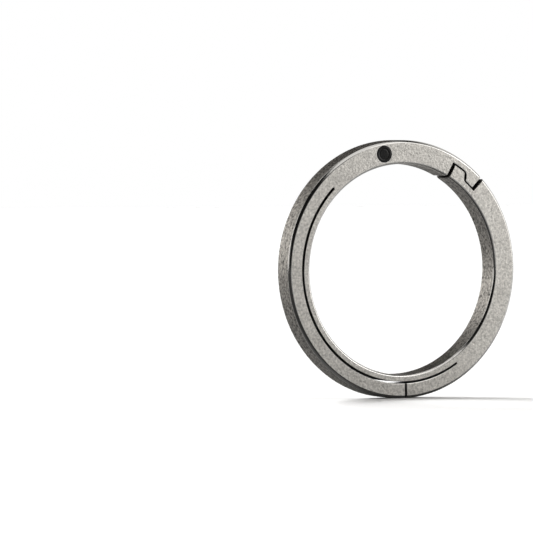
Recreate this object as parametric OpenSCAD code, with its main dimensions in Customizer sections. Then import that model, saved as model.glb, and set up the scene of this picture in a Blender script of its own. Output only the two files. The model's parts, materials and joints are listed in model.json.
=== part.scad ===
// Side-push split key ring, wire-cut from one titanium plate.
// The ring stands upright on its rim: its axis is Y, its marked face looks to -Y and +Z is
// twelve o'clock. Angles are clock angles: 0 at the top, growing clockwise on the marked face.
// The solid ring is shown as the sections that move against each other: the frame, the gate
// and the leaf spring that carries the gate and twists when the gate is pushed sideways.

/* [Ring] */
// Outside diameter
outer_d = 32; // [29:0.5:38]
// Radial width of the band
band_w = 2.95; // [2.6:0.05:3.6]
// Thickness along the ring's axis
thickness = 3.3; // [2.6:0.1:4]
// Width of the chamfer along the four round edges
edge_break = 0.27; // [0.1:0.01:0.35]

/* [Leaf spring] */
// Radial thickness of the leaf spring
leaf_t = 0.875; // [0.7:0.025:1.05]
// Width of the slot behind the leaf spring
slot_w = 0.25; // [0.2:0.01:0.35]
// Clock angle where the leaf spring grows out of the gate
leaf_from = 147; // [135:1:152]
// Clock angle where the leaf spring grows out of the frame
leaf_to = 316; // [300:1:325]
// Number of places where the leaf spring is divided to twist
leaf_joints = 14; // [8:1:20]

/* [Gate] */
// Clock angle of the cut between the gate's heel and the frame
heel_at = 178; // [170:1:200]
// Width of the cut between the gate's heel and the frame
heel_cut = 0.22; // [0.18:0.01:0.35]
// Clock angle of the latch's first wall
latch_at = 28.4; // [15:0.2:40]
// Length of the latch along the middle of the band, from its first wall to its last
latch_len = 4.06; // [3.8:0.02:5.2]
// Clearance at the tips of the two hooks
tip_gap = 0.4; // [0.3:0.01:0.5]
// Clearance along the sides of the two hooks
side_gap = 0.17; // [0.12:0.01:0.2]
// Radial thickness of the frame's finger
keeper_t = 0.96; // [0.8:0.01:1.1]
// Radial thickness of the gate's finger
finger_t = 0.89; // [0.8:0.01:1.1]
// Length of the gate's hook on its finger, without its slope
hook_len = 1.62; // [1.4:0.01:1.9]
// How far each hook's flank slopes along the band
hook_slope = 0.52; // [0.3:0.01:0.7]
// Rounding of the hooks' corners
hook_round = 0.22; // [0.1:0.01:0.28]
// Rounding where the latch's first wall meets the eye
mouth_round = 0.35; // [0.1:0.05:0.5]

/* [Mark] */
// Flat face left free on each side of the plain round mark
mark_margin = 0.155; // [0.05:0.005:0.4]
// Clock angle of the mark, counted back from the top
mark_back = 10.6; // [5:0.1:30]
// Depth of the mark's recess
mark_depth = 0.3; // [0.15:0.05:0.5]
// How far the mark's fill lies below the face
mark_sink = 0.04; // [0:0.01:0.1]

/* [Hidden] */
$fn = 96;
ring_or = outer_d / 2;
ring_ir = ring_or - band_w;
mid_r = (ring_or + ring_ir) / 2;
half_t = thickness / 2;
mark_d = band_w - 2 * (edge_break + mark_margin);
leaf_or = ring_ir + leaf_t;
slot_or = leaf_or + slot_w;
beyond = ring_or + 2;
leaf_step = (leaf_to - leaf_from) / leaf_joints;
corner_steps = 6;
wedge_step = 30;

titanium = [0.62, 0.61, 0.59];
leaf_tint = [0.66, 0.65, 0.63];
lacquer = [0.05, 0.05, 0.05];

// The angle that an arc of length s spans at radius r.
function span(s, r) = s / r * 180 / PI;

// The point at radius r and clock angle a on the ring's face.
function at(r, a) = [r * sin(a), r * cos(a)];

// Points along an arc, from clock angle a0 to a1.
function arc(r, a0, a1, n) = [for (i = [0 : n]) at(r, a0 + (a1 - a0) * i / n)];

// Points of a corner at c rounded with a radius of about r, between the points before and after.
function corner(before, c, after, r) =
    let (p = c + r * (before - c) / norm(before - c))
    let (q = c + r * (after - c) / norm(after - c))
    [for (i = [0 : corner_steps])
        let (u = i / corner_steps)
        (1 - u) * (1 - u) * p + 2 * u * (1 - u) * c + u * u * q];

function leaf_name(i) = str("leaf_", i < 10 ? "0" : "", i);

// Clock angle of the twist joint that lies between leaf i - 1 and leaf i.
function joint_at(i) = leaf_to - leaf_step * (i - 0.5);

// The latch, from its first wall clockwise.
gate_tip_at = latch_at + span(tip_gap, mid_r);
keeper_end = latch_at + span(latch_len, mid_r);
shoulder_at = keeper_end + span(tip_gap, mid_r);
keeper_in = ring_or - keeper_t;
finger_out = ring_ir + finger_t;
hook_top = keeper_in - side_gap;
pocket_floor = finger_out + side_gap;
hook_end = gate_tip_at + span(hook_len, mid_r);
flank_gap = span(side_gap * norm([1, hook_slope / (hook_top - finger_out)]), mid_r);

// Turns a drawing of the marked face into a block through the ring.
module through() {
    rotate([90, 0, 0])
        linear_extrude(height = thickness + 2, center = true)
            children();
}

// A wedge of the face between two clock angles.
module wedge(a0, a1) {
    n = ceil((a1 - a0) / wedge_step);
    polygon(concat([[0, 0]], arc(beyond, a0, a1, n)));
}

// The whole band, before any cut, with its four chamfers.
module band() {
    b = edge_break;
    rotate([90, 0, 0])
        rotate_extrude($fn = 180)
            polygon([
                [ring_ir + b, -half_t],
                [ring_or - b, -half_t],
                [ring_or, b - half_t],
                [ring_or, half_t - b],
                [ring_or - b, half_t],
                [ring_ir + b, half_t],
                [ring_ir, half_t - b],
                [ring_ir, b - half_t]
            ]);
}

// A round bar along the ring's axis.
module core(r) {
    rotate([90, 0, 0])
        cylinder(h = thickness + 4, r = r, center = true, $fn = 180);
}

// A stretch of the whole band between two clock angles.
module band_section(a0, a1) {
    intersection() {
        band();
        through() wedge(a0, a1);
    }
}

// A stretch of the band outside the slot.
module outer_section(a0, a1) {
    difference() {
        band_section(a0, a1);
        core(slot_or);
    }
}

// A stretch of the leaf spring.
module leaf_section(a0, a1) {
    intersection() {
        band_section(a0, a1);
        core(leaf_or);
    }
}

// Where the mark lies, turned so that Z runs into the ring from its marked face.
module at_mark() {
    p = at(mid_r, -mark_back);
    translate([p.x, -half_t, p.y])
        rotate([-90, 0, 0])
            children();
}

// Frame: the full-width top of the ring, with the recess for the mark.
module crown() {
    from = leaf_to - 360;
    inner = at(ring_ir, latch_at);
    color(titanium)
        difference() {
            intersection() {
                band();
                through()
                    polygon(concat(
                        [at(0, 0)],
                        arc(beyond, from, latch_at, 4),
                        corner(at(beyond, latch_at), inner, at(ring_ir, latch_at - 6), mouth_round)
                    ));
            }
            at_mark()
                translate([0, 0, -1])
                    cylinder(h = 1 + mark_depth, d = mark_d, $fn = 64);
        }
}

// Frame: the outer part that runs beside the leaf spring, from the crown to the heel.
module outer_bow() {
    color(titanium)
        outer_section(heel_at + span(heel_cut, mid_r), leaf_to);
}

// Frame: the finger that reaches over the gate, with its hook turned inward.
module keeper_hook() {
    top = at(keeper_in, hook_end + flank_gap);
    toe = at(pocket_floor, hook_end + flank_gap + span(hook_slope, mid_r));
    heel = at(pocket_floor, keeper_end);
    over = at(beyond, keeper_end);
    root = at(keeper_in, latch_at);
    color(titanium)
        intersection() {
            band();
            through()
                polygon(concat(
                    arc(beyond, latch_at, keeper_end, 4),
                    corner(over, heel, toe, hook_round / 2),
                    corner(heel, toe, top, hook_round),
                    corner(toe, top, root, hook_round + side_gap),
                    arc(keeper_in, hook_end, latch_at, 4)
                ));
        }
}

// Frame: the first stretch of the leaf spring, where it grows out of the crown.
module leaf_root() {
    color(leaf_tint)
        leaf_section(joint_at(1), leaf_to);
}

// Frame: the dark fill of the round mark.
module mark_fill() {
    color(lacquer)
        at_mark()
            translate([0, 0, mark_sink])
                cylinder(h = mark_depth - mark_sink, d = mark_d, $fn = 64);
}

// Gate: the full-width arm.
module gate_arm() {
    color(titanium)
        band_section(shoulder_at, leaf_from);
}

// Gate: the outer part that runs on beside the leaf spring to the frame.
module gate_heel() {
    color(titanium)
        outer_section(leaf_from, heel_at);
}

// Gate: the finger that reaches under the frame's finger, with its hook turned outward.
module gate_hook() {
    tip = at(hook_top, gate_tip_at);
    crest = at(hook_top, hook_end);
    foot = at(finger_out, hook_end + span(hook_slope, mid_r));
    base = at(finger_out, shoulder_at);
    color(titanium)
        intersection() {
            band();
            through()
                polygon(concat(
                    [at(0, 0), at(ring_ir - 1, gate_tip_at)],
                    corner(at(ring_ir, gate_tip_at), tip, crest, hook_round),
                    corner(tip, crest, foot, hook_round),
                    corner(crest, foot, base, hook_round + side_gap),
                    arc(finger_out, hook_end + span(2 * hook_slope, mid_r), shoulder_at, 3)
                ));
        }
}

// Gate: the last stretch of the leaf spring, where it grows out of the gate's arm.
module leaf_tip() {
    color(leaf_tint)
        leaf_section(leaf_from, joint_at(leaf_joints));
}

// Leaf spring: the stretch between twist joints i and i + 1.
module leaf(i) {
    color(leaf_tint)
        leaf_section(joint_at(i + 1), joint_at(i));
}

crown();
outer_bow();
keeper_hook();
leaf_root();
mark_fill();
gate_arm();
gate_heel();
gate_hook();
leaf_tip();
for (i = [1 : leaf_joints - 1])
    leaf(i);
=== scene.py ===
# %% [markdown]
# # A side-push split key ring
# The ring is one flat plate of titanium. A wire has cut a long slot in it, a butt joint at
# six o'clock and a pair of hooks at one o'clock, so part of the band becomes a gate that
# hangs on a thin leaf spring. This lesson builds that ring round its CAD frame: the plate
# pieces come from one Geometry Nodes tree, the leaf spring bends over the CAD's joints, and
# the tumbled metal is a pair of shader groups. Lengths are in metres, and `MM` turns
# millimetres into metres. Angles are clock angles: 0 at the top, growing clockwise as one
# looks at the marked face, which looks to -Y.

# %% Load the frame
import json
import math

import bmesh
import bpy
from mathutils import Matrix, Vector
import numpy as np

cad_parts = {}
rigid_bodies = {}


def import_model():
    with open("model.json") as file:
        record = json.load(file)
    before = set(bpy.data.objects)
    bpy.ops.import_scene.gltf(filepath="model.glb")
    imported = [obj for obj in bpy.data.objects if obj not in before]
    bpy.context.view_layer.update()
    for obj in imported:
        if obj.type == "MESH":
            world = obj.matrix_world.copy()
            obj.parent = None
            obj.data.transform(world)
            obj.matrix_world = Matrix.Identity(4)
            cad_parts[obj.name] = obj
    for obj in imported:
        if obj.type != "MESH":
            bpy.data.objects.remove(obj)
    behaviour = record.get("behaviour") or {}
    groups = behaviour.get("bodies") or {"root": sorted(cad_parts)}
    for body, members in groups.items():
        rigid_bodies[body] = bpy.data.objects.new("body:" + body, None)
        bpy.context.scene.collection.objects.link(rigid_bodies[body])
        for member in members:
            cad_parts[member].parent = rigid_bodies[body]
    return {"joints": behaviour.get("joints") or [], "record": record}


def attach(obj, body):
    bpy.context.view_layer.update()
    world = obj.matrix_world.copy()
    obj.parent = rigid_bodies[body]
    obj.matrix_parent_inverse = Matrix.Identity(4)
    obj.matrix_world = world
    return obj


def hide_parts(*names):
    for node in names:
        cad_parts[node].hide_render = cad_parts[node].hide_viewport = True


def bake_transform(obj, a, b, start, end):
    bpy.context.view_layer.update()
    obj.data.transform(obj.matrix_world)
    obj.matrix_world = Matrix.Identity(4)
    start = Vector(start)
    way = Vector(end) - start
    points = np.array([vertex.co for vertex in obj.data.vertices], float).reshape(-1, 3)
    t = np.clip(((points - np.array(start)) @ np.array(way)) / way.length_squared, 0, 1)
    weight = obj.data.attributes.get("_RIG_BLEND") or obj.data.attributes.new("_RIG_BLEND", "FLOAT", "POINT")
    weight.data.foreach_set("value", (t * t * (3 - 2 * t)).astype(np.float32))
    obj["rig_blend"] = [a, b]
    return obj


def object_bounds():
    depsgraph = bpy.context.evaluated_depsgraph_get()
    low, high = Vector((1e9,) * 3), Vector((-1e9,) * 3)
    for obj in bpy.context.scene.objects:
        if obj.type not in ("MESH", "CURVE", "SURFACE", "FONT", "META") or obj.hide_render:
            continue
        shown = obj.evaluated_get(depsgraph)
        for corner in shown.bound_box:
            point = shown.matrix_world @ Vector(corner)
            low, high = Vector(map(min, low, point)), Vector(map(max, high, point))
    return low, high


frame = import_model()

MM = 0.001
cad_low, cad_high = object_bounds()
print("CAD box in mm", [round((h - l) / MM, 2) for l, h in zip(cad_low, cad_high)])

# %% [markdown]
# ## The sizes
# The outside comes from the CAD box, the eye from the record's bore mount, and the leaf
# spring's middle line from the joints, which lie on it. The latch's sizes are those of the
# CAD source, in millimetres. Reading what the frame already knows keeps the looks and the
# mechanism the same size.

# %% The ring's sizes
mounts = {mount["name"]: mount for mount in frame["record"]["mounts"]}
OUTER_R = round(cad_high.x / MM, 2) * MM
THICKNESS = round((cad_high.y - cad_low.y) / MM, 2) * MM
INNER_R = mounts["ring_eye"]["dims"]["r_mm"] * MM
MID_R = (OUTER_R + INNER_R) / 2

RIM_CHAMFER = 0.35 * MM
EDGE_BREAK = 0.06 * MM
SHARP_ANGLE = math.radians(25)

hinges = frame["joints"]
leaf_mid_r = math.hypot(hinges[0]["pos_m"][0], hinges[0]["pos_m"][2])
LEAF_OUT = 2 * leaf_mid_r - INNER_R
SLOT_WIDTH = 0.25 * MM
SLOT_OUT = LEAF_OUT + SLOT_WIDTH
print("eye", INNER_R / MM, "outside", OUTER_R / MM, "leaf", (LEAF_OUT - INNER_R) / MM)


# %% The latch's sizes
def span(length_mm, radius):
    """The clock angle that an arc of that length spans."""
    return math.degrees(length_mm * MM / radius)


# Angles are in degrees. The gaps, thicknesses, lengths and roundings are in millimetres, as
# in the CAD source; the radii worked out from them are in metres.
LEAF_FROM = 147.0
LEAF_TO = 316.0
HEEL_AT = 178.0
HEEL_CUT = 0.22
BOW_END = HEEL_AT + span(HEEL_CUT, MID_R)
STUB = 0.5

SIDE_GAP = 0.17
TIP_GAP = 0.4
LATCH_LENGTH = 4.06
KEEPER_THICK = 0.96
FINGER_THICK = 0.89
HOOK_LENGTH = 1.62
HOOK_SLOPE = 0.52
LATCH_AT = 28.4
GATE_TIP = LATCH_AT + span(TIP_GAP, MID_R)
KEEPER_END = LATCH_AT + span(LATCH_LENGTH, MID_R)
SHOULDER = KEEPER_END + span(TIP_GAP, MID_R)
KEEPER_IN = OUTER_R - KEEPER_THICK * MM
FINGER_OUT = INNER_R + FINGER_THICK * MM
HOOK_TOP = KEEPER_IN - SIDE_GAP * MM
POCKET = FINGER_OUT + SIDE_GAP * MM
HOOK_END = GATE_TIP + span(HOOK_LENGTH, MID_R)
SLOPE = span(HOOK_SLOPE, MID_R)
slant = HOOK_SLOPE * MM / (HOOK_TOP - FINGER_OUT)
FLANK = span(SIDE_GAP * math.hypot(1, slant), MID_R)
HOOK_ROUND = 0.22
MOUTH_ROUND = 0.35
NOSE_ROUND = 0.25
print("latch from", LATCH_AT, "to", round(KEEPER_END, 2), "shoulder", round(SHOULDER, 2))

# %% [markdown]
# ## The camera and the studio
# The camera stands a little to the left of the ring and hardly above it, with a long lens,
# so the ring looks almost drawn in parallel lines. It is aimed beside the ring, which puts
# the ring to the right of the middle with no lens shift.

# %% Camera
AZIMUTH = -29.143
ELEVATION = 1.414
DISTANCE = 717.5 * MM
LENS = 390.3
AIM_LEFT = 16.167 * MM
AIM_UP = 0.304 * MM

azimuth, elevation = math.radians(AZIMUTH), math.radians(ELEVATION)
camera_at = DISTANCE * Vector((
    math.sin(azimuth) * math.cos(elevation),
    -math.cos(azimuth) * math.cos(elevation),
    math.sin(elevation),
))
camera_right = Vector((math.cos(azimuth), math.sin(azimuth), 0))
aim_at = AIM_LEFT * -camera_right + Vector((0, 0, AIM_UP))

camera = bpy.data.objects.new("camera", bpy.data.cameras.new("camera"))
bpy.context.scene.collection.objects.link(camera)
camera.data.lens = LENS
camera.data.clip_start = 0.01
camera.location = camera_at
camera.rotation_euler = (aim_at - camera_at).to_track_quat("-Z", "Y").to_euler()
bpy.context.scene.camera = camera
print("camera at", [round(x, 4) for x in camera_at])

# %% [markdown]
# Bare metal shows its surroundings more than its own colour. A bright room with a darker
# side gives it form: the chamfers that look to the dark side turn nearly black, those that
# look up or right turn white, and the flat face sits between. The room is therefore a dark
# base with a few broad lobes of light. The camera itself sees plain white behind the ring.


# %% Small helpers for node trees
def add(tree, kind, label="", **settings):
    """Adds a node with a label and its own settings."""
    node = tree.nodes.new(kind)
    node.label = label
    for name, value in settings.items():
        setattr(node, name, value)
    return node


def put(tree, target, value):
    """Sets an input socket to a value, or links another socket to it."""
    if isinstance(value, bpy.types.NodeSocket):
        tree.links.new(value, target)
    else:
        target.default_value = value


def math_node(tree, operation, *values):
    """A Math node with its inputs filled in, giving its result."""
    node = add(tree, "ShaderNodeMath", operation=operation)
    for socket, value in zip(node.inputs, values):
        put(tree, socket, value)
    return node.outputs[0]


def vector_node(tree, operation, *values):
    """A Vector Math node with its inputs filled in, giving its vector result."""
    node = add(tree, "ShaderNodeVectorMath", operation=operation)
    for socket, value in zip(node.inputs, values):
        put(tree, socket, value)
    return node.outputs[0]


def ramp(tree, value, stops):
    """A Color Ramp with the given (position, colour) stops."""
    node = add(tree, "ShaderNodeValToRGB")
    points = node.color_ramp.elements
    while len(points) < len(stops):
        points.new(0.5)
    for point, (position, colour) in zip(points, stops):
        point.position = position
        point.color = (*colour, 1)
    put(tree, node.inputs[0], value)
    return node.outputs[0]


# %% World
# Each lobe: the way to it, how far it spreads (cosines where it ends and is full), its light.
ROOM_BASE = 0.005
ROOM_LOBES = [
    ("front right", (0.50, -0.86, -0.02), (0.66, 0.96), 0.24),
    ("front", (-0.05, -0.98, 0.12), (0.85, 0.98), 0.22),
    ("left", (-1.00, 0.10, 0.02), (0.90, 0.98), 0.60),
    ("above right", (0.53, -0.55, 0.64), (0.90, 0.97), 1.05),
    ("right", (0.88, -0.44, 0.10), (0.88, 0.96), 1.30),
    ("above", (0.12, -0.28, 0.95), (0.86, 0.95), 0.75),
    ("card behind right", (0.84, 0.42, 0.34), (0.80, 0.95), 0.58),
    ("window behind left", (-0.46, 0.86, 0.18), (0.88, 0.99), 1.27),
    ("left strip", (-0.85, 0.42, 0.33), (0.88, 0.97), 1.00),
    ("strip above behind", (-0.28, 0.46, 0.84), (0.95, 0.98), 0.80),
]

world = bpy.data.worlds.new("studio")
bpy.context.scene.world = world
world.use_nodes = True
tree = world.node_tree
tree.nodes.clear()
where = add(tree, "ShaderNodeTexCoord").outputs["Generated"]
light = ROOM_BASE
for label, toward, (ends, full), strength in ROOM_LOBES:
    dot = add(tree, "ShaderNodeVectorMath", label, operation="DOT_PRODUCT")
    put(tree, dot.inputs[0], where)
    put(tree, dot.inputs[1], Vector(toward).normalized())
    lobe = add(tree, "ShaderNodeMapRange", interpolation_type="SMOOTHSTEP")
    put(tree, lobe.inputs["Value"], dot.outputs["Value"])
    put(tree, lobe.inputs["From Min"], ends)
    put(tree, lobe.inputs["From Max"], full)
    put(tree, lobe.inputs["To Max"], strength)
    light = math_node(tree, "ADD", lobe.outputs[0], light)
room = add(tree, "ShaderNodeBackground", "room")
put(tree, room.inputs["Color"], (1.0, 0.985, 0.96, 1))
put(tree, room.inputs["Strength"], light)
seen = add(tree, "ShaderNodeBackground", "seen by the camera")
put(tree, seen.inputs["Color"], (1, 1, 1, 1))
pick = add(tree, "ShaderNodeMixShader")
put(tree, pick.inputs[0], add(tree, "ShaderNodeLightPath").outputs["Is Camera Ray"])
put(tree, pick.inputs[1], room.outputs[0])
put(tree, pick.inputs[2], seen.outputs[0])
put(tree, add(tree, "ShaderNodeOutputWorld").inputs[0], pick.outputs[0])
bpy.context.scene.view_settings.view_transform = "Standard"
print("room lobes", [lobe[0] for lobe in ROOM_LOBES])

# %% [markdown]
# One wide, soft key light lays the shadow on the floor. It is left out of reflections, where
# its broad disc would fill the dark side, so the bare metal is lit by the room alone.

# %% Key light
KEY_ENERGY = 6.3
KEY_ANGLE = math.radians(40)
KEY_TRAVELS = (0.10, -0.92, -0.45)
sun = bpy.data.objects.new("key_light", bpy.data.lights.new("key_light", "SUN"))
bpy.context.scene.collection.objects.link(sun)
sun.data.energy = KEY_ENERGY
sun.data.angle = KEY_ANGLE
sun.visible_glossy = False
sun.rotation_euler = Vector(KEY_TRAVELS).to_track_quat("-Z", "Y").to_euler()
print("key light", sun.data.energy)

# %% [markdown]
# A small softbox stands close on the right, so its light falls off across the ring and the
# flat face isn't the same grey all over.

# %% Softbox
SOFTBOX_SIZE = 100 * MM
SOFTBOX_ENERGY = 0.037
SOFTBOX_PLACE = (115, -95, 45)
softbox = bpy.data.objects.new("softbox", bpy.data.lights.new("softbox", "AREA"))
bpy.context.scene.collection.objects.link(softbox)
softbox.data.size = SOFTBOX_SIZE
softbox.data.energy = SOFTBOX_ENERGY
softbox.location = Vector(SOFTBOX_PLACE) * MM
softbox.rotation_euler = (-softbox.location).to_track_quat("-Z", "Y").to_euler()
print("softbox at", [round(x, 3) for x in softbox.location])

# %% [markdown]
# ## The metal
# The plate is tumbled with stones after it is cut: its faces turn an even, speckled grey,
# its walls keep some of the wire's dark skin, full of pits that are darkened with painted
# shade, and every edge is rubbed bright. Each of these is a shader group fed with the
# object's own coordinates, so the speckle stays on the metal when the gate moves.


# %% Start a shader group
def new_group(name, inputs, outputs, kind="ShaderNodeTree"):
    """An empty node group with named sockets; returns it with its two end nodes."""
    group = bpy.data.node_groups.new(name, kind)
    for label, socket, value in inputs:
        made = group.interface.new_socket(label, in_out="INPUT", socket_type=socket)
        if value is not None:
            made.default_value = value
    for label, socket in outputs:
        group.interface.new_socket(label, in_out="OUTPUT", socket_type=socket)
    return group, add(group, "NodeGroupInput"), add(group, "NodeGroupOutput")


# %% [markdown]
# **Tumbled grain** mixes three sizes of pattern: a fine speckle from the stones, a broad
# cloudiness, and sparse pits. It gives each as a mask, and their sum as a height for bump.


# %% Tumbled grain
def tumbled_grain():
    group, given, result = new_group(
        "tumbled grain",
        [
            ("Vector", "NodeSocketVector", None),
            ("Grain size", "NodeSocketFloat", 0.00016),
            ("Pit size", "NodeSocketFloat", 0.0005),
            ("Pit share", "NodeSocketFloat", 0.3),
        ],
        [("Speckle", "NodeSocketFloat"), ("Mottle", "NodeSocketFloat"),
         ("Cloud", "NodeSocketFloat"), ("Pits", "NodeSocketFloat"),
         ("Height", "NodeSocketFloat")],
    )
    per_grain = math_node(group, "DIVIDE", 1.0, given.outputs["Grain size"])
    per_pit = math_node(group, "DIVIDE", 1.0, given.outputs["Pit size"])

    fine = add(group, "ShaderNodeTexNoise", "speckle")
    put(group, fine.inputs["Vector"], given.outputs["Vector"])
    put(group, fine.inputs["Scale"], per_grain)
    put(group, fine.inputs["Detail"], 3.0)
    put(group, fine.inputs["Roughness"], 0.65)
    speckle = add(group, "ShaderNodeMapRange")
    put(group, speckle.inputs["Value"], fine.outputs[0])
    put(group, speckle.inputs["From Min"], 0.3)
    put(group, speckle.inputs["From Max"], 0.7)

    broad = add(group, "ShaderNodeTexNoise", "cloud")
    put(group, broad.inputs["Vector"], given.outputs["Vector"])
    put(group, broad.inputs["Scale"], math_node(group, "MULTIPLY", per_grain, 0.12))
    put(group, broad.inputs["Detail"], 2.0)

    middle = add(group, "ShaderNodeTexNoise", "mottle")
    put(group, middle.inputs["Vector"], given.outputs["Vector"])
    put(group, middle.inputs["Scale"], math_node(group, "MULTIPLY", per_grain, 0.7))
    put(group, middle.inputs["Detail"], 1.5)
    mottle = add(group, "ShaderNodeMapRange")
    put(group, mottle.inputs["Value"], middle.outputs[0])
    put(group, mottle.inputs["From Min"], 0.35)
    put(group, mottle.inputs["From Max"], 0.65)

    cells = add(group, "ShaderNodeTexVoronoi", "pits")
    put(group, cells.inputs["Vector"], given.outputs["Vector"])
    put(group, cells.inputs["Scale"], per_pit)
    chosen = add(group, "ShaderNodeSeparateColor")
    put(group, chosen.inputs[0], cells.outputs["Color"])
    sparse = math_node(group, "LESS_THAN", chosen.outputs[0], given.outputs["Pit share"])
    hollow = add(group, "ShaderNodeMapRange", interpolation_type="SMOOTHSTEP")
    put(group, hollow.inputs["Value"], cells.outputs["Distance"])
    put(group, hollow.inputs["From Min"], 0.15)
    put(group, hollow.inputs["From Max"], 0.42)
    put(group, hollow.inputs["To Min"], 1.0)
    put(group, hollow.inputs["To Max"], 0.0)
    pits = math_node(group, "MULTIPLY", sparse, hollow.outputs[0])

    height = math_node(group, "MULTIPLY_ADD", pits, -0.8, speckle.outputs[0])
    put(group, result.inputs["Speckle"], speckle.outputs[0])
    put(group, result.inputs["Mottle"], mottle.outputs[0])
    put(group, result.inputs["Cloud"], broad.outputs[0])
    put(group, result.inputs["Pits"], pits)
    put(group, result.inputs["Height"], height)
    return group


GRAIN = tumbled_grain()
print("group", GRAIN.name, "outputs", [s.name for s in GRAIN.interface.items_tree][:4])

# %% [markdown]
# **Rubbed edges** takes the mask that the pieces carry on their chamfers and breaks it up
# with the grain, so the bright line along an edge is uneven as real wear is.


# %% Rubbed edges
def rubbed_edges():
    group, given, result = new_group(
        "rubbed edges",
        [
            ("Edge", "NodeSocketFloat", 0.0),
            ("Grain", "NodeSocketFloat", 0.5),
            ("Unevenness", "NodeSocketFloat", 0.15),
        ],
        [("Rubbed", "NodeSocketFloat")],
    )
    worn = math_node(group, "SUBTRACT", 1.0, given.outputs["Grain"])
    loss = math_node(group, "MULTIPLY", worn, given.outputs["Unevenness"])
    left = math_node(group, "SUBTRACT", given.outputs["Edge"], loss)
    put(group, result.inputs["Rubbed"], math_node(group, "MAXIMUM", left, 0.0))
    return group


RUBBED = rubbed_edges()
print("group", RUBBED.name)

# %% [markdown]
# ** Titanium** reads three attributes that the plate's node tree writes on its faces: `wall`,
# 1 on the cut and turned walls, `edge`, up to 1 on the chamfers, and `kerf`, 1 on the
# walls that the wire cut. The walls are darker and browner than the faces, with more contrast
# in their grain and deeper painted shade in their pits; the edges are smoother and brighter;
# the cut walls are painted nearly black: the wire's dark skin plus painted shade inside the
# narrow cuts.


# %% Titanium
def mix_colour(tree, share, first, second, blend="MIX"):
    """A colour Mix node, giving its result."""
    node = add(tree, "ShaderNodeMix", data_type="RGBA", blend_type=blend)
    put(tree, node.inputs["Factor"], share)
    put(tree, node.inputs["A"], first)
    put(tree, node.inputs["B"], second)
    return node.outputs["Result"]


def attribute(tree, name):
    """The value of a piece's own attribute."""
    return add(tree, "ShaderNodeAttribute", attribute_name=name).outputs["Fac"]


FACE_GREY = (0.655, 0.634, 0.597, 1)
WALL_BROWN = (0.42, 0.40, 0.373, 1)
EDGE_BRIGHT = (0.86, 0.85, 0.83, 1)
# The wire-cut walls: the wire's dark skin, darkened to near black as painted shade inside the narrow cuts.
KERF_SKIN_AND_SHADE = (0.016, 0.015, 0.014, 1)
GRAIN_SIZE = 0.24 * MM
PIT_SIZE = 0.5 * MM
PIT_SHARE = 0.3
GRAIN_DEPTH = 0.014 * MM


def titanium():
    material = bpy.data.materials.new("tumbled_titanium")
    material.use_nodes = True
    tree = material.node_tree
    shader = tree.nodes["Principled BSDF"]
    place = add(tree, "ShaderNodeTexCoord").outputs["Object"]
    wall = attribute(tree, "wall")
    edge = attribute(tree, "edge")
    kerf = attribute(tree, "kerf")

    grain = add(tree, "ShaderNodeGroup", node_tree=GRAIN)
    put(tree, grain.inputs["Vector"], place)
    put(tree, grain.inputs["Grain size"], GRAIN_SIZE)
    put(tree, grain.inputs["Pit size"], PIT_SIZE)
    put(tree, grain.inputs["Pit share"], PIT_SHARE)
    rubbed = add(tree, "ShaderNodeGroup", node_tree=RUBBED)
    put(tree, rubbed.inputs["Edge"], edge)
    put(tree, rubbed.inputs["Grain"], grain.outputs["Speckle"])

    metal = mix_colour(tree, wall, FACE_GREY, WALL_BROWN)
    # Painted shade: the walls inside the wire's cuts go nearly black, over the wire's dark skin.
    metal = mix_colour(tree, kerf, metal, KERF_SKIN_AND_SHADE)
    contrast = math_node(tree, "MULTIPLY_ADD", wall, 0.62, 0.50)
    centred = math_node(tree, "SUBTRACT", grain.outputs["Speckle"], 0.5)
    shade = math_node(tree, "MULTIPLY_ADD", centred, contrast, 0.84)
    shade = math_node(tree, "MULTIPLY_ADD", grain.outputs["Cloud"], 0.30, shade)
    patches = math_node(tree, "SUBTRACT", grain.outputs["Mottle"], 0.5)
    patch_depth = math_node(tree, "MULTIPLY_ADD", wall, 0.50, 0.28)
    shade = math_node(tree, "MULTIPLY_ADD", patches, patch_depth, shade)
    # Painted shade in the pits: the colour is darkened inside them, more on the walls than on the faces.
    depth = math_node(tree, "MULTIPLY_ADD", wall, 0.32, 0.08)
    pit_shade = math_node(tree, "MULTIPLY", grain.outputs["Pits"], depth)
    shade = math_node(tree, "SUBTRACT", shade, pit_shade)
    tint = add(tree, "ShaderNodeCombineColor")
    for socket in tint.inputs[:3]:
        put(tree, socket, shade)
    metal = mix_colour(tree, 1.0, metal, tint.outputs[0], "MULTIPLY")
    metal = mix_colour(tree, rubbed.outputs[0], metal, EDGE_BRIGHT)
    put(tree, shader.inputs["Base Color"], metal)

    rough = math_node(tree, "MULTIPLY_ADD", wall, -0.02, 0.44)
    rough = math_node(tree, "MULTIPLY_ADD", grain.outputs["Speckle"], 0.08, rough)
    rough = math_node(tree, "MULTIPLY_ADD", rubbed.outputs[0], -0.38, rough)
    put(tree, shader.inputs["Roughness"], rough)
    put(tree, shader.inputs["Metallic"], 1.0)

    flatter = math_node(tree, "MULTIPLY_ADD", edge, -0.85, 1.0)
    height = math_node(tree, "MULTIPLY", grain.outputs["Height"], flatter)
    bump = add(tree, "ShaderNodeBump")
    put(tree, bump.inputs["Height"], height)
    put(tree, bump.inputs["Distance"], GRAIN_DEPTH)
    put(tree, bump.inputs["Strength"], 1.0)
    put(tree, shader.inputs["Normal"], bump.outputs[0])
    return material


TITANIUM = titanium()
print("material", TITANIUM.name, "nodes", len(TITANIUM.node_tree.nodes))

# %% [markdown]
# **Lacquer** fills the round mark: black, smooth and a little glossy, with the faintest
# ripple, so it catches a soft highlight where the titanium stays matte.


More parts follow.
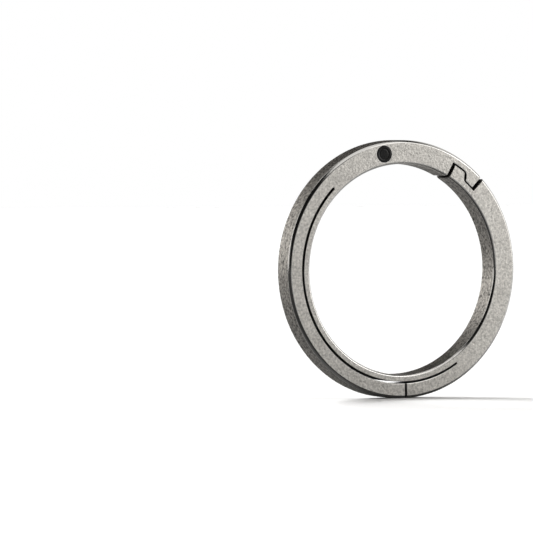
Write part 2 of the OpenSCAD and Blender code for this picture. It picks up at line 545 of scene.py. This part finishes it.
# %% Lacquer
def lacquer():
    material = bpy.data.materials.new("black_lacquer")
    material.use_nodes = True
    tree = material.node_tree
    shader = tree.nodes["Principled BSDF"]
    place = add(tree, "ShaderNodeTexCoord").outputs["Object"]
    ripple = add(tree, "ShaderNodeTexNoise")
    put(tree, ripple.inputs["Vector"], place)
    put(tree, ripple.inputs["Scale"], 1800.0)
    shades = [(0.3, (0.003, 0.003, 0.003)), (0.75, (0.014, 0.0135, 0.013))]
    put(tree, shader.inputs["Base Color"], ramp(tree, ripple.outputs[0], shades))
    rough = math_node(tree, "MULTIPLY_ADD", ripple.outputs[0], 0.16, 0.20)
    put(tree, shader.inputs["Roughness"], rough)
    put(tree, shader.inputs["Specular IOR Level"], 0.25)
    bump = add(tree, "ShaderNodeBump")
    put(tree, bump.inputs["Height"], ripple.outputs[0])
    put(tree, bump.inputs["Distance"], 0.00002)
    put(tree, bump.inputs["Strength"], 0.4)
    put(tree, shader.inputs["Normal"], bump.outputs[0])
    return material


LACQUER = lacquer()
print("material", LACQUER.name)

# %% [markdown]
# ## The plate as a rule
# Every plate piece is a flat outline given thickness. What changes from edge to edge is only
# how far the face draws back: a wide chamfer along the round rims, a hair's breadth along
# the wire's cuts, and nothing where two stretches of the leaf spring meet. The eye's chamfer
# is narrower and as much shallower, so it keeps its slope. So an outline carries, at each
# corner, how far the face draws back for a rim and for a cut and how deep its chamfer goes,
# and one node tree turns any such outline into the finished solid.

# %% Kinds of edge
RIM = (1.0, 0.0)
EYE = (0.78, 0.0)
CUT = (0.0, 1.0)
SEAM = (0.0, 0.0)
SMOOTH_TURN = math.radians(20)


def at(radius, clock, y=0.0):
    """The point at a radius and clock angle."""
    a = math.radians(clock)
    return Vector((radius * math.sin(a), y, radius * math.cos(a)))


def arc(radius, start, end, kind, step=1.0):
    """Outline corners along an arc, without its last point."""
    count = max(1, round(abs(end - start) / step))
    clocks = [start + (end - start) * i / count for i in range(count)]
    return [(at(radius, clock), kind) for clock in clocks]


def rounded(before, corner, after, radius, kind, steps=6):
    """Outline corners of a rounded corner, both of its ends included."""
    p = corner + radius * (before - corner).normalized()
    q = corner + radius * (after - corner).normalized()
    turns = [i / steps for i in range(steps + 1)]
    return [((1 - u) ** 2 * p + 2 * u * (1 - u) * corner + u * u * q, kind) for u in turns]


def graded(corners, first, last):
    """The same corners, with their kind of edge running evenly from one to another."""
    run = []
    for i, (point, _) in enumerate(corners):
        u = i / (len(corners) - 1)
        run.append((point, tuple((1 - u) * a + u * b for a, b in zip(first, last))))
    return run


# %% How far each corner draws back
def inward(start, end):
    """The unit vector to the right of an edge, which is the inside of the outline."""
    d = (end - start).normalized()
    return Vector((d.z, 0, -d.x))


def draw_back(n1, n2, d1, d2):
    """Moves a corner so that its two edges draw back by d1 and d2."""
    turn = n1.angle(n2)
    if turn < SMOOTH_TURN:
        return (n1 + n2).normalized() * (d1 + d2) / 2 / math.cos(turn / 2)
    det = n1.x * n2.z - n1.z * n2.x
    return Vector(((d1 * n2.z - d2 * n1.z) / det, 0, (d2 * n1.x - d1 * n2.x) / det))


def flat_outline(name, corners):
    """A one-face mesh of the outline, with the draw-back of each corner as attributes."""
    points = [corner[0] for corner in corners]
    kinds = [corner[1] for corner in corners]
    count = len(points)
    normals = [inward(points[i], points[(i + 1) % count]) for i in range(count)]
    mesh = bpy.data.meshes.new(name)
    mesh.from_pydata([p[:] for p in points], [], [list(range(count))])
    for label, which in (("rim_in", 0), ("cut_in", 1)):
        layer = mesh.attributes.new(label, "FLOAT_VECTOR", "POINT")
        for i in range(count):
            back = draw_back(normals[i - 1], normals[i], kinds[i - 1][which], kinds[i][which])
            layer.data[i].vector = back
    pairs = [(kinds[i - 1], kinds[i]) for i in range(count)]
    on_rim = [sum(1 - kind[1] for kind in pair if kind != SEAM) / 2 for pair in pairs]
    deep = [max(sum(kind) for kind in pair) for pair in pairs]
    for label, values in (("on_rim", on_rim), ("deep", deep)):
        mesh.attributes.new(label, "FLOAT", "POINT").data.foreach_set("value", values)
    return mesh


print("a rim's corner draws back", draw_back(Vector((0, 0, -1)), Vector((-1, 0, 0)), 1, 0)[:])

# %% [markdown]
# ## The node tree
# The tree works as a maker would build up the section in layers. The flat face is laid at
# the front, then extruded to the back in eleven steps; after each step its corners are placed
# by the section's rule: so deep, drawn back so far on a rim and so far on a cut. Each step
# also marks its side faces as wall or edge, for the metal to read.

# %% The section's rule, from the face down
# Depth and draw-back as shares of the rim's chamfer, and the draw-back along a cut as a
# share of its own, much smaller edge break. The chamfer is flat with both its edges eased.
SECTION = [
    (0.00, 1.00, 1.00),
    (0.05, 0.84, 0.45),
    (0.13, 0.71, 0.00),
    (0.92, 0.07, 0.00),
    (1.01, 0.02, 0.00),
    (1.10, 0.00, 0.00),
]
LAYERS = [(-1.0, *layer) for layer in SECTION] + [(1.0, *layer) for layer in SECTION[::-1]]

# What each strip of side faces is, from front to back, on a rim and along a cut.
EDGE_ON_RIM = [1, 1, 1, 1, 1, 0, 1, 1, 1, 1, 1]
EDGE_ON_CUT = [1, 1, 0, 0, 0, 0, 0, 0, 0, 1, 1]
print("layers", len(LAYERS), "strips", len(EDGE_ON_RIM))


# %% One layer of the section
def named(tree, name, kind):
    """A Named Attribute node's value."""
    node = add(tree, "GeometryNodeInputNamedAttribute", data_type=kind)
    node.inputs["Name"].default_value = name
    return node.outputs["Attribute"]


PLATE_SIZES = ["Thickness", "Rim chamfer", "Edge break"]
LAYER_SHARES = ["Side", "Depth", "Rim share", "Cut share"]
LAYER_INPUTS = PLATE_SIZES + LAYER_SHARES


def layer_group():
    """Places the moved corners of a face at one layer of the section."""
    inputs = [("Mesh", "NodeSocketGeometry", None), ("Moved", "NodeSocketBool", True)]
    inputs += [(label, "NodeSocketFloat", 0.0) for label in LAYER_INPUTS]
    outputs = [("Mesh", "NodeSocketGeometry")]
    group, given, result = new_group("section layer", inputs, outputs, "GeometryNodeTree")
    size = {label: given.outputs[label] for label in LAYER_INPUTS}

    half = math_node(group, "MULTIPLY", size["Thickness"], 0.5)
    depth = math_node(group, "MULTIPLY", size["Rim chamfer"], size["Depth"])
    depth = math_node(group, "MULTIPLY", depth, named(group, "deep", "FLOAT"))
    level = math_node(group, "SUBTRACT", half, depth)
    across = add(group, "ShaderNodeCombineXYZ")
    put(group, across.inputs["Y"], math_node(group, "MULTIPLY", level, size["Side"]))

    place = vector_node(group, "ADD", named(group, "flat", "FLOAT_VECTOR"), across.outputs[0])
    for name, reach, share in (("rim_in", "Rim chamfer", "Rim share"),
                               ("cut_in", "Edge break", "Cut share")):
        back = add(group, "ShaderNodeVectorMath", operation="SCALE")
        put(group, back.inputs[0], named(group, name, "FLOAT_VECTOR"))
        put(group, back.inputs["Scale"], math_node(group, "MULTIPLY", size[reach], size[share]))
        place = vector_node(group, "ADD", place, back.outputs[0])

    move = add(group, "GeometryNodeSetPosition")
    put(group, move.inputs["Geometry"], given.outputs["Mesh"])
    put(group, move.inputs["Selection"], given.outputs["Moved"])
    put(group, move.inputs["Position"], place)
    put(group, result.inputs["Mesh"], move.outputs[0])
    return group


LAYER = layer_group()
print("group", LAYER.name, "nodes", len(LAYER.nodes))


# %% The whole plate
def place_layer(tree, mesh, moved, sizes, layer):
    """Adds one 'section layer' node with its shares filled in."""
    node = add(tree, "GeometryNodeGroup", node_tree=LAYER)
    put(tree, node.inputs["Mesh"], mesh)
    put(tree, node.inputs["Moved"], moved)
    for label in PLATE_SIZES:
        put(tree, node.inputs[label], sizes[label])
    for label, share in zip(LAYER_SHARES, layer):
        put(tree, node.inputs[label], share)
    return node.outputs[0]


def write_faces(tree, mesh, name, faces, on_rim, on_cut):
    """Stores a value on some faces, which depends on how far they lie on a rim."""
    blend = add(tree, "ShaderNodeMapRange")
    put(tree, blend.inputs["Value"], named(tree, "on_rim", "FLOAT"))
    put(tree, blend.inputs["To Min"], float(on_cut))
    put(tree, blend.inputs["To Max"], float(on_rim))
    store = add(tree, "GeometryNodeStoreNamedAttribute", data_type="FLOAT", domain="FACE")
    store.inputs["Name"].default_value = name
    put(tree, store.inputs["Geometry"], mesh)
    put(tree, store.inputs["Selection"], faces)
    put(tree, store.inputs["Value"], blend.outputs[0])
    return store.outputs[0]


def crease(tree, mesh, name):
    """Makes the edges sharp where a face attribute changes from one side to the other."""
    inside = add(tree, "GeometryNodeFieldOnDomain", domain="EDGE", data_type="FLOAT")
    put(tree, inside.inputs["Value"], named(tree, name, "FLOAT"))
    between = math_node(tree, "COMPARE", inside.outputs[0], 0.5, 0.3)
    shade = add(tree, "GeometryNodeSetShadeSmooth", domain="EDGE")
    put(tree, shade.inputs["Geometry"], mesh)
    put(tree, shade.inputs["Selection"], between)
    put(tree, shade.inputs["Shade Smooth"], False)
    return shade.outputs[0]


def plate_tree():
    """Turns a flat outline into the finished solid."""
    sizes = [("Thickness", THICKNESS), ("Rim chamfer", RIM_CHAMFER), ("Edge break", EDGE_BREAK)]
    inputs = [("Outline", "NodeSocketGeometry", None)]
    inputs += [(label, "NodeSocketFloat", value) for label, value in sizes]
    inputs += [("Sharp angle", "NodeSocketFloat", SHARP_ANGLE),
               ("Metal", "NodeSocketMaterial", None)]
    outputs = [("Solid", "NodeSocketGeometry")]
    tree, given, result = new_group("plate from outline", inputs, outputs, "GeometryNodeTree")

    keep = add(tree, "GeometryNodeStoreNamedAttribute", data_type="FLOAT_VECTOR", domain="POINT")
    keep.inputs["Name"].default_value = "flat"
    put(tree, keep.inputs["Geometry"], given.outputs["Outline"])
    put(tree, keep.inputs["Value"], add(tree, "GeometryNodeInputPosition").outputs[0])
    mesh = place_layer(tree, keep.outputs[0], True, given.outputs, LAYERS[0])
    front = add(tree, "GeometryNodeFlipFaces")
    put(tree, front.inputs[0], mesh)

    back = True
    for layer, rim_edge, cut_edge in zip(LAYERS[1:], EDGE_ON_RIM, EDGE_ON_CUT):
        step = add(tree, "GeometryNodeExtrudeMesh", mode="FACES")
        put(tree, step.inputs["Mesh"], mesh)
        put(tree, step.inputs["Selection"], back)
        put(tree, step.inputs["Offset Scale"], 0.0)
        put(tree, step.inputs["Individual"], False)
        back, flank = step.outputs["Top"], step.outputs["Side"]
        mesh = place_layer(tree, step.outputs["Mesh"], back, given.outputs, layer)
        mesh = write_faces(tree, mesh, "edge", flank, rim_edge, cut_edge)
        mesh = write_faces(tree, mesh, "wall", flank, 1 - rim_edge, 1 - cut_edge)
        mesh = write_faces(tree, mesh, "kerf", flank, 0, 1 - cut_edge)

    join = add(tree, "GeometryNodeJoinGeometry")
    tree.links.new(front.outputs[0], join.inputs[0])
    tree.links.new(mesh, join.inputs[0])
    close = add(tree, "GeometryNodeMergeByDistance")
    put(tree, close.inputs["Geometry"], join.outputs[0])
    put(tree, close.inputs["Distance"], 0.0005 * MM)
    mesh = close.outputs[0]

    angle = add(tree, "GeometryNodeInputMeshEdgeAngle").outputs["Unsigned Angle"]
    gentle = add(tree, "FunctionNodeCompare", data_type="FLOAT", operation="LESS_THAN")
    put(tree, gentle.inputs["A"], angle)
    put(tree, gentle.inputs["B"], given.outputs["Sharp angle"])
    for domain, smooth in (("FACE", True), ("EDGE", gentle.outputs[0])):
        shade = add(tree, "GeometryNodeSetShadeSmooth", domain=domain)
        put(tree, shade.inputs["Geometry"], mesh)
        put(tree, shade.inputs["Shade Smooth"], smooth)
        mesh = shade.outputs[0]
    mesh = crease(tree, mesh, "edge")
    for name in ("flat", "rim_in", "cut_in", "on_rim", "deep"):
        clear = add(tree, "GeometryNodeRemoveAttribute")
        put(tree, clear.inputs["Geometry"], mesh)
        clear.inputs["Name"].default_value = name
        mesh = clear.outputs[0]

    real = add(tree, "GeometryNodeRealizeInstances")
    put(tree, real.inputs[0], mesh)
    metal = add(tree, "GeometryNodeSetMaterial")
    put(tree, metal.inputs["Geometry"], real.outputs[0])
    put(tree, metal.inputs["Material"], given.outputs["Metal"])
    put(tree, result.inputs["Solid"], metal.outputs[0])
    return tree


PLATE = plate_tree()
print("tree", PLATE.name, "nodes", len(PLATE.nodes))

# %% [markdown]
# A modifier applies the tree to an outline, and `new_from_object` turns what it makes into a
# plain mesh, which the export needs. The inputs are set by the sockets' identifiers before
# the object is first evaluated.


# %% From outline to finished piece
def socket_id(tree, label):
    """The identifier of a tree's input, which a modifier's settings use."""
    items = tree.interface.items_tree
    return next(i.identifier for i in items if i.name == label and i.in_out == "INPUT")


def through_tree(name, mesh, tree, settings):
    """An object with the tree's result as its plain mesh."""
    piece = bpy.data.objects.new(name, mesh)
    bpy.context.scene.collection.objects.link(piece)
    modifier = piece.modifiers.new("nodes", "NODES")
    modifier.node_group = tree
    for label, value in settings.items():
        modifier[socket_id(tree, label)] = value
    evaluated = piece.evaluated_get(bpy.context.evaluated_depsgraph_get())
    made = bpy.data.meshes.new_from_object(evaluated)
    piece.modifiers.clear()
    piece.data = made
    made.name = name
    return piece


def plate_piece(name, corners):
    """A finished plate piece from its outline."""
    settings = {"Thickness": THICKNESS, "Rim chamfer": RIM_CHAMFER, "Edge break": EDGE_BREAK,
                "Sharp angle": SHARP_ANGLE, "Metal": TITANIUM}
    piece = through_tree(name, flat_outline(name, corners), PLATE, settings)
    shell = bmesh.new()
    shell.from_mesh(piece.data)
    open_edges = sum(1 for edge in shell.edges if not edge.is_manifold)
    volume = shell.calc_volume(signed=True) / MM ** 3
    shell.free()
    faces = len(piece.data.polygons)
    print(name, "faces", faces, "open edges", open_edges, "mm3", round(volume, 1))
    return piece


# %% [markdown]
# ## The frame
# The frame is the ring's fixed part: from the butt joint up the left side, over the top to
# the outer hook. Its outline runs clockwise round the rim and comes back along the hook, the
# eye and the slot. A stub of the leaf spring is part of it, so the first bending stretch
# starts just clear of the slot's end.


# %% Frame outline
def frame_outline():
    end = KEEPER_END + 360
    toe_clock = HOOK_END + FLANK + SLOPE
    top = at(KEEPER_IN, HOOK_END + FLANK)
    toe = at(POCKET, toe_clock)
    heel = at(POCKET, KEEPER_END)
    mouth = at(INNER_R, LATCH_AT)
    past = at(INNER_R, LATCH_AT - 6)
    nose = at(OUTER_R, KEEPER_END)
    nose_from = end - span(NOSE_ROUND, OUTER_R)
    nose_round = rounded(at(OUTER_R, nose_from), nose, heel, NOSE_ROUND * MM, RIM)
    mouth_round = rounded(at(KEEPER_IN, LATCH_AT), mouth, past, MOUTH_ROUND * MM, CUT)
    return [
        *arc(OUTER_R, BOW_END, nose_from, RIM),
        *graded(nose_round, RIM, CUT),
        *rounded(nose, heel, toe, HOOK_ROUND * MM / 2, CUT),
        *rounded(heel, toe, top, HOOK_ROUND * MM, CUT),
        *rounded(toe, top, at(KEEPER_IN, LATCH_AT), HOOK_ROUND * MM + SIDE_GAP * MM, CUT),
        *arc(KEEPER_IN, HOOK_END - 1.5, LATCH_AT, CUT),
        (at(KEEPER_IN, LATCH_AT), CUT),
        *graded(mouth_round, CUT, EYE)[:-1],
        *arc(INNER_R, LATCH_AT - span(MOUTH_ROUND, INNER_R), LEAF_TO - STUB - 360, EYE),
        (at(INNER_R, LEAF_TO - STUB), SEAM),
        (at(LEAF_OUT, LEAF_TO - STUB), CUT),
        (at(LEAF_OUT, LEAF_TO), CUT),
        *arc(SLOT_OUT, LEAF_TO, BOW_END, CUT),
        (at(SLOT_OUT, BOW_END), CUT),
    ]


ring_frame = plate_piece("ring_frame", frame_outline())

# %% [markdown]
# ## The gate
# The gate is the part that a thumb pushes aside: the inner hook, the full-width arm down the
# right side, and the heel beside the leaf spring, up to the butt joint.


# %% Gate outline
def gate_outline():
    crest = at(HOOK_TOP, HOOK_END)
    foot = at(FINGER_OUT, HOOK_END + SLOPE)
    tip = at(HOOK_TOP, GATE_TIP)
    base = at(FINGER_OUT, SHOULDER)
    return [
        *arc(OUTER_R, SHOULDER, HEEL_AT, RIM),
        (at(OUTER_R, HEEL_AT), CUT),
        *arc(SLOT_OUT, HEEL_AT, LEAF_FROM, CUT),
        (at(SLOT_OUT, LEAF_FROM), CUT),
        (at(LEAF_OUT, LEAF_FROM), CUT),
        (at(LEAF_OUT, LEAF_FROM + STUB), SEAM),
        *arc(INNER_R, LEAF_FROM + STUB, GATE_TIP, EYE),
        (at(INNER_R, GATE_TIP), CUT),
        *rounded(at(INNER_R, GATE_TIP), tip, crest, HOOK_ROUND * MM, CUT),
        *rounded(tip, crest, foot, HOOK_ROUND * MM, CUT),
        *rounded(crest, foot, base, HOOK_ROUND * MM + SIDE_GAP * MM, CUT),
        *arc(FINGER_OUT, HOOK_END + 2 * SLOPE, SHOULDER, CUT),
        (base, CUT),
    ]


ring_gate = plate_piece("ring_gate", gate_outline())

# %% [markdown]
# ## The leaf spring
# The leaf is one strip that twists along its whole length. The CAD stands its twist in for
# by a row of hinges, so it is shown as one stretch over each hinge: each follows the body
# before it at one end and the body after it at the other, and the ends meet exactly.

# %% Leaf stretches
hinge_clocks = [
    math.degrees(math.atan2(hinge["pos_m"][0], hinge["pos_m"][2])) % 360 for hinge in hinges
]
half_step = (hinge_clocks[0] - hinge_clocks[1]) / 2
leaf_pieces = []
for number, clock in enumerate(hinge_clocks, start=1):
    above = min(clock + half_step, LEAF_TO - STUB)
    below = max(clock - half_step, LEAF_FROM + STUB)
    corners = [
        *arc(LEAF_OUT, below, above, CUT),
        (at(LEAF_OUT, above), SEAM),
        *arc(INNER_R, above, below, EYE),
        (at(INNER_R, below), SEAM),
    ]
    piece = plate_piece(f"leaf_stretch_{number:02d}", corners)
    leaf_pieces.append((piece, above, below))
print("stretches", len(leaf_pieces), "each spans", round(2 * half_step, 2), "degrees")

# %% [markdown]
# ## The mark
# A plain round mark sits in a recess in the face: a lacquer fill with a low rim and one
# shallow ring, turned like a small lid. It is a spun profile, closed at the middle.

# %% Mark
MARK_CLOCK = 360 - 10.6
mark_middle = at(MID_R, MARK_CLOCK, -THICKNESS / 2)


def spun(name, profile, middle, steps=96):
    """A closed solid turned about Y from (radius, depth below the face) points."""
    shape = bmesh.new()
    rings = []
    for radius, depth in profile:
        count = 1 if radius == 0 else steps
        turns = [2 * math.pi * i / steps for i in range(count)]
        places = [(radius * math.sin(a), depth, radius * math.cos(a)) for a in turns]
        rings.append([shape.verts.new(middle + Vector(place)) for place in places])
    for a, b in zip(rings, rings[1:]):
        for i in range(steps):
            loop = [a[i % len(a)], a[(i + 1) % len(a)], b[(i + 1) % len(b)], b[i % len(b)]]
            shape.faces.new(list(dict.fromkeys(loop)))
    bmesh.ops.recalc_face_normals(shape, faces=shape.faces)
    for face in shape.faces:
        face.smooth = True
    mesh = bpy.data.meshes.new(name)
    shape.to_mesh(mesh)
    shape.free()
    piece = bpy.data.objects.new(name, mesh)
    bpy.context.scene.collection.objects.link(piece)
    return piece


# Points from the middle outward and down, as (radius, depth below the face) in mm.
LID = [(0, 0.05), (0.50, 0.045), (0.56, 0.045), (0.60, 0.075), (0.66, 0.075), (0.70, 0.045),
       (0.80, 0.035), (0.94, 0.03), (1.00, 0.045), (1.03, 0.08), (1.045, 0.12), (1.045, 0.29),
       (0, 0.29)]
mark_fill = spun("mark_lacquer", [(r * MM, d * MM) for r, d in LID], mark_middle)
mark_fill.data.materials.append(LACQUER)
print("mark at clock", MARK_CLOCK, "faces", len(mark_fill.data.polygons))

# %% [markdown]
# The recess is cut into the frame with a cutter whose mouth flares a little, so its rim has
# the same fine break as the wire's cuts.


# %% Recess
def sharpen(mesh):
    """Keeps an edge smooth only where it turns gently and joins faces of the same sort."""
    shape = bmesh.new()
    shape.from_mesh(mesh)
    share = shape.faces.layers.float["edge"]
    for line in shape.edges:
        one, other = line.link_faces
        alike = abs(one[share] - other[share]) < 0.3
        line.smooth = alike and one.normal.angle(other.normal) < SHARP_ANGLE
    shape.to_mesh(mesh)
    shape.free()


FLARE = [(0, -0.2), (1.29, -0.2), (1.05, 0.035), (1.05, 0.3), (0, 0.3)]
cutter = spun("recess_cutter", [(r * MM, d * MM) for r, d in FLARE], mark_middle, 64)
cut = ring_frame.modifiers.new("recess", "BOOLEAN")
cut.object = cutter
cut.solver = "EXACT"
evaluated = ring_frame.evaluated_get(bpy.context.evaluated_depsgraph_get())
recessed = bpy.data.meshes.new_from_object(evaluated)
ring_frame.modifiers.clear()
sharpen(recessed)
ring_frame.data = recessed
bpy.data.objects.remove(cutter)
print("frame with recess, faces", len(ring_frame.data.polygons))

# %% [markdown]
# ## The floor
# A plain pale floor, which the ring stands on. The camera sees it white. The metal sees dark
# painted reflection patches on it instead, so that the chamfers which look down turn dark.

# %% Floor
# Each painted reflection patch: the way across the floor, where it starts and is full in mm, and its grey.
PAINTED_REFLECTION_PATCHES = [
    ((0, 1, 0), (-8, 8), 0.21),
    ((0.55, -0.83, 0), (2, 18), 0.26),
    ((1, 0, 0), (20, 60), 0.42),
]
REFLECTED_FLOOR_DARK = 0.012
FLOOR_WHITE = (0.9, 0.9, 0.9, 1)
HALF_FLOOR = 1.5
floor_mesh = bpy.data.meshes.new("floor")
floor_corners = [
    (x * HALF_FLOOR, y * HALF_FLOOR, cad_low.z)
    for x, y in ((-1, -1), (1, -1), (1, 1), (-1, 1))
]
floor_mesh.from_pydata(floor_corners, [], [(0, 1, 2, 3)])
floor = bpy.data.objects.new("floor", floor_mesh)
bpy.context.scene.collection.objects.link(floor)
paper = bpy.data.materials.new("pale_floor")
paper.use_nodes = True
tree = paper.node_tree
shader = tree.nodes["Principled BSDF"]
place = add(tree, "ShaderNodeTexCoord").outputs["Object"]
shade = REFLECTED_FLOOR_DARK
for way, (start, end), grey in PAINTED_REFLECTION_PATCHES:
    along = add(tree, "ShaderNodeVectorMath", operation="DOT_PRODUCT")
    put(tree, along.inputs[0], place)
    put(tree, along.inputs[1], Vector(way))
    rise = add(tree, "ShaderNodeMapRange", interpolation_type="SMOOTHSTEP")
    put(tree, rise.inputs["Value"], along.outputs["Value"])
    put(tree, rise.inputs["From Min"], start * MM)
    put(tree, rise.inputs["From Max"], end * MM)
    put(tree, rise.inputs["To Max"], grey)
    shade = math_node(tree, "MAXIMUM", rise.outputs[0], shade)
in_metal = add(tree, "ShaderNodeCombineColor")
for socket in in_metal.inputs[:3]:
    put(tree, socket, shade)
to_camera = add(tree, "ShaderNodeLightPath").outputs["Is Camera Ray"]
# Painted reflection: the metal sees the dark grey patches, while the camera sees the floor white.
card = mix_colour(tree, to_camera, in_metal.outputs[0], FLOOR_WHITE)
put(tree, shader.inputs["Base Color"], card)
put(tree, shader.inputs["Roughness"], 0.9)
floor_mesh.materials.append(paper)
print("floor at", round(cad_low.z / MM, 2))

# %% [markdown]
# ## Joining the looks to the mechanism
# Each piece stands for its CAD nodes and moves with their body. The leaf's stretches bend
# between neighbouring bodies instead, from one end to the other.

# %% Bodies
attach(ring_frame, "frame")
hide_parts("crown", "outer_bow", "keeper_hook")

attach(ring_gate, "gate")
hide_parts("gate_arm", "gate_heel", "gate_hook")

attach(mark_fill, "frame")
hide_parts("mark_fill")

for number, (piece, above, below) in enumerate(leaf_pieces):
    hinge = hinges[number]
    start, end = at(leaf_mid_r, above), at(leaf_mid_r, below)
    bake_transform(piece, hinge["parent"], hinge["child"], start=start[:], end=end[:])
    nodes = list(frame["record"]["behaviour"]["bodies"][hinge["child"]])
    if hinge["parent"] == "frame":
        nodes.append("leaf_root")
    if hinge["child"] == "gate":
        nodes = ["leaf_tip"]
    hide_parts(*nodes)
print("bodies joined")
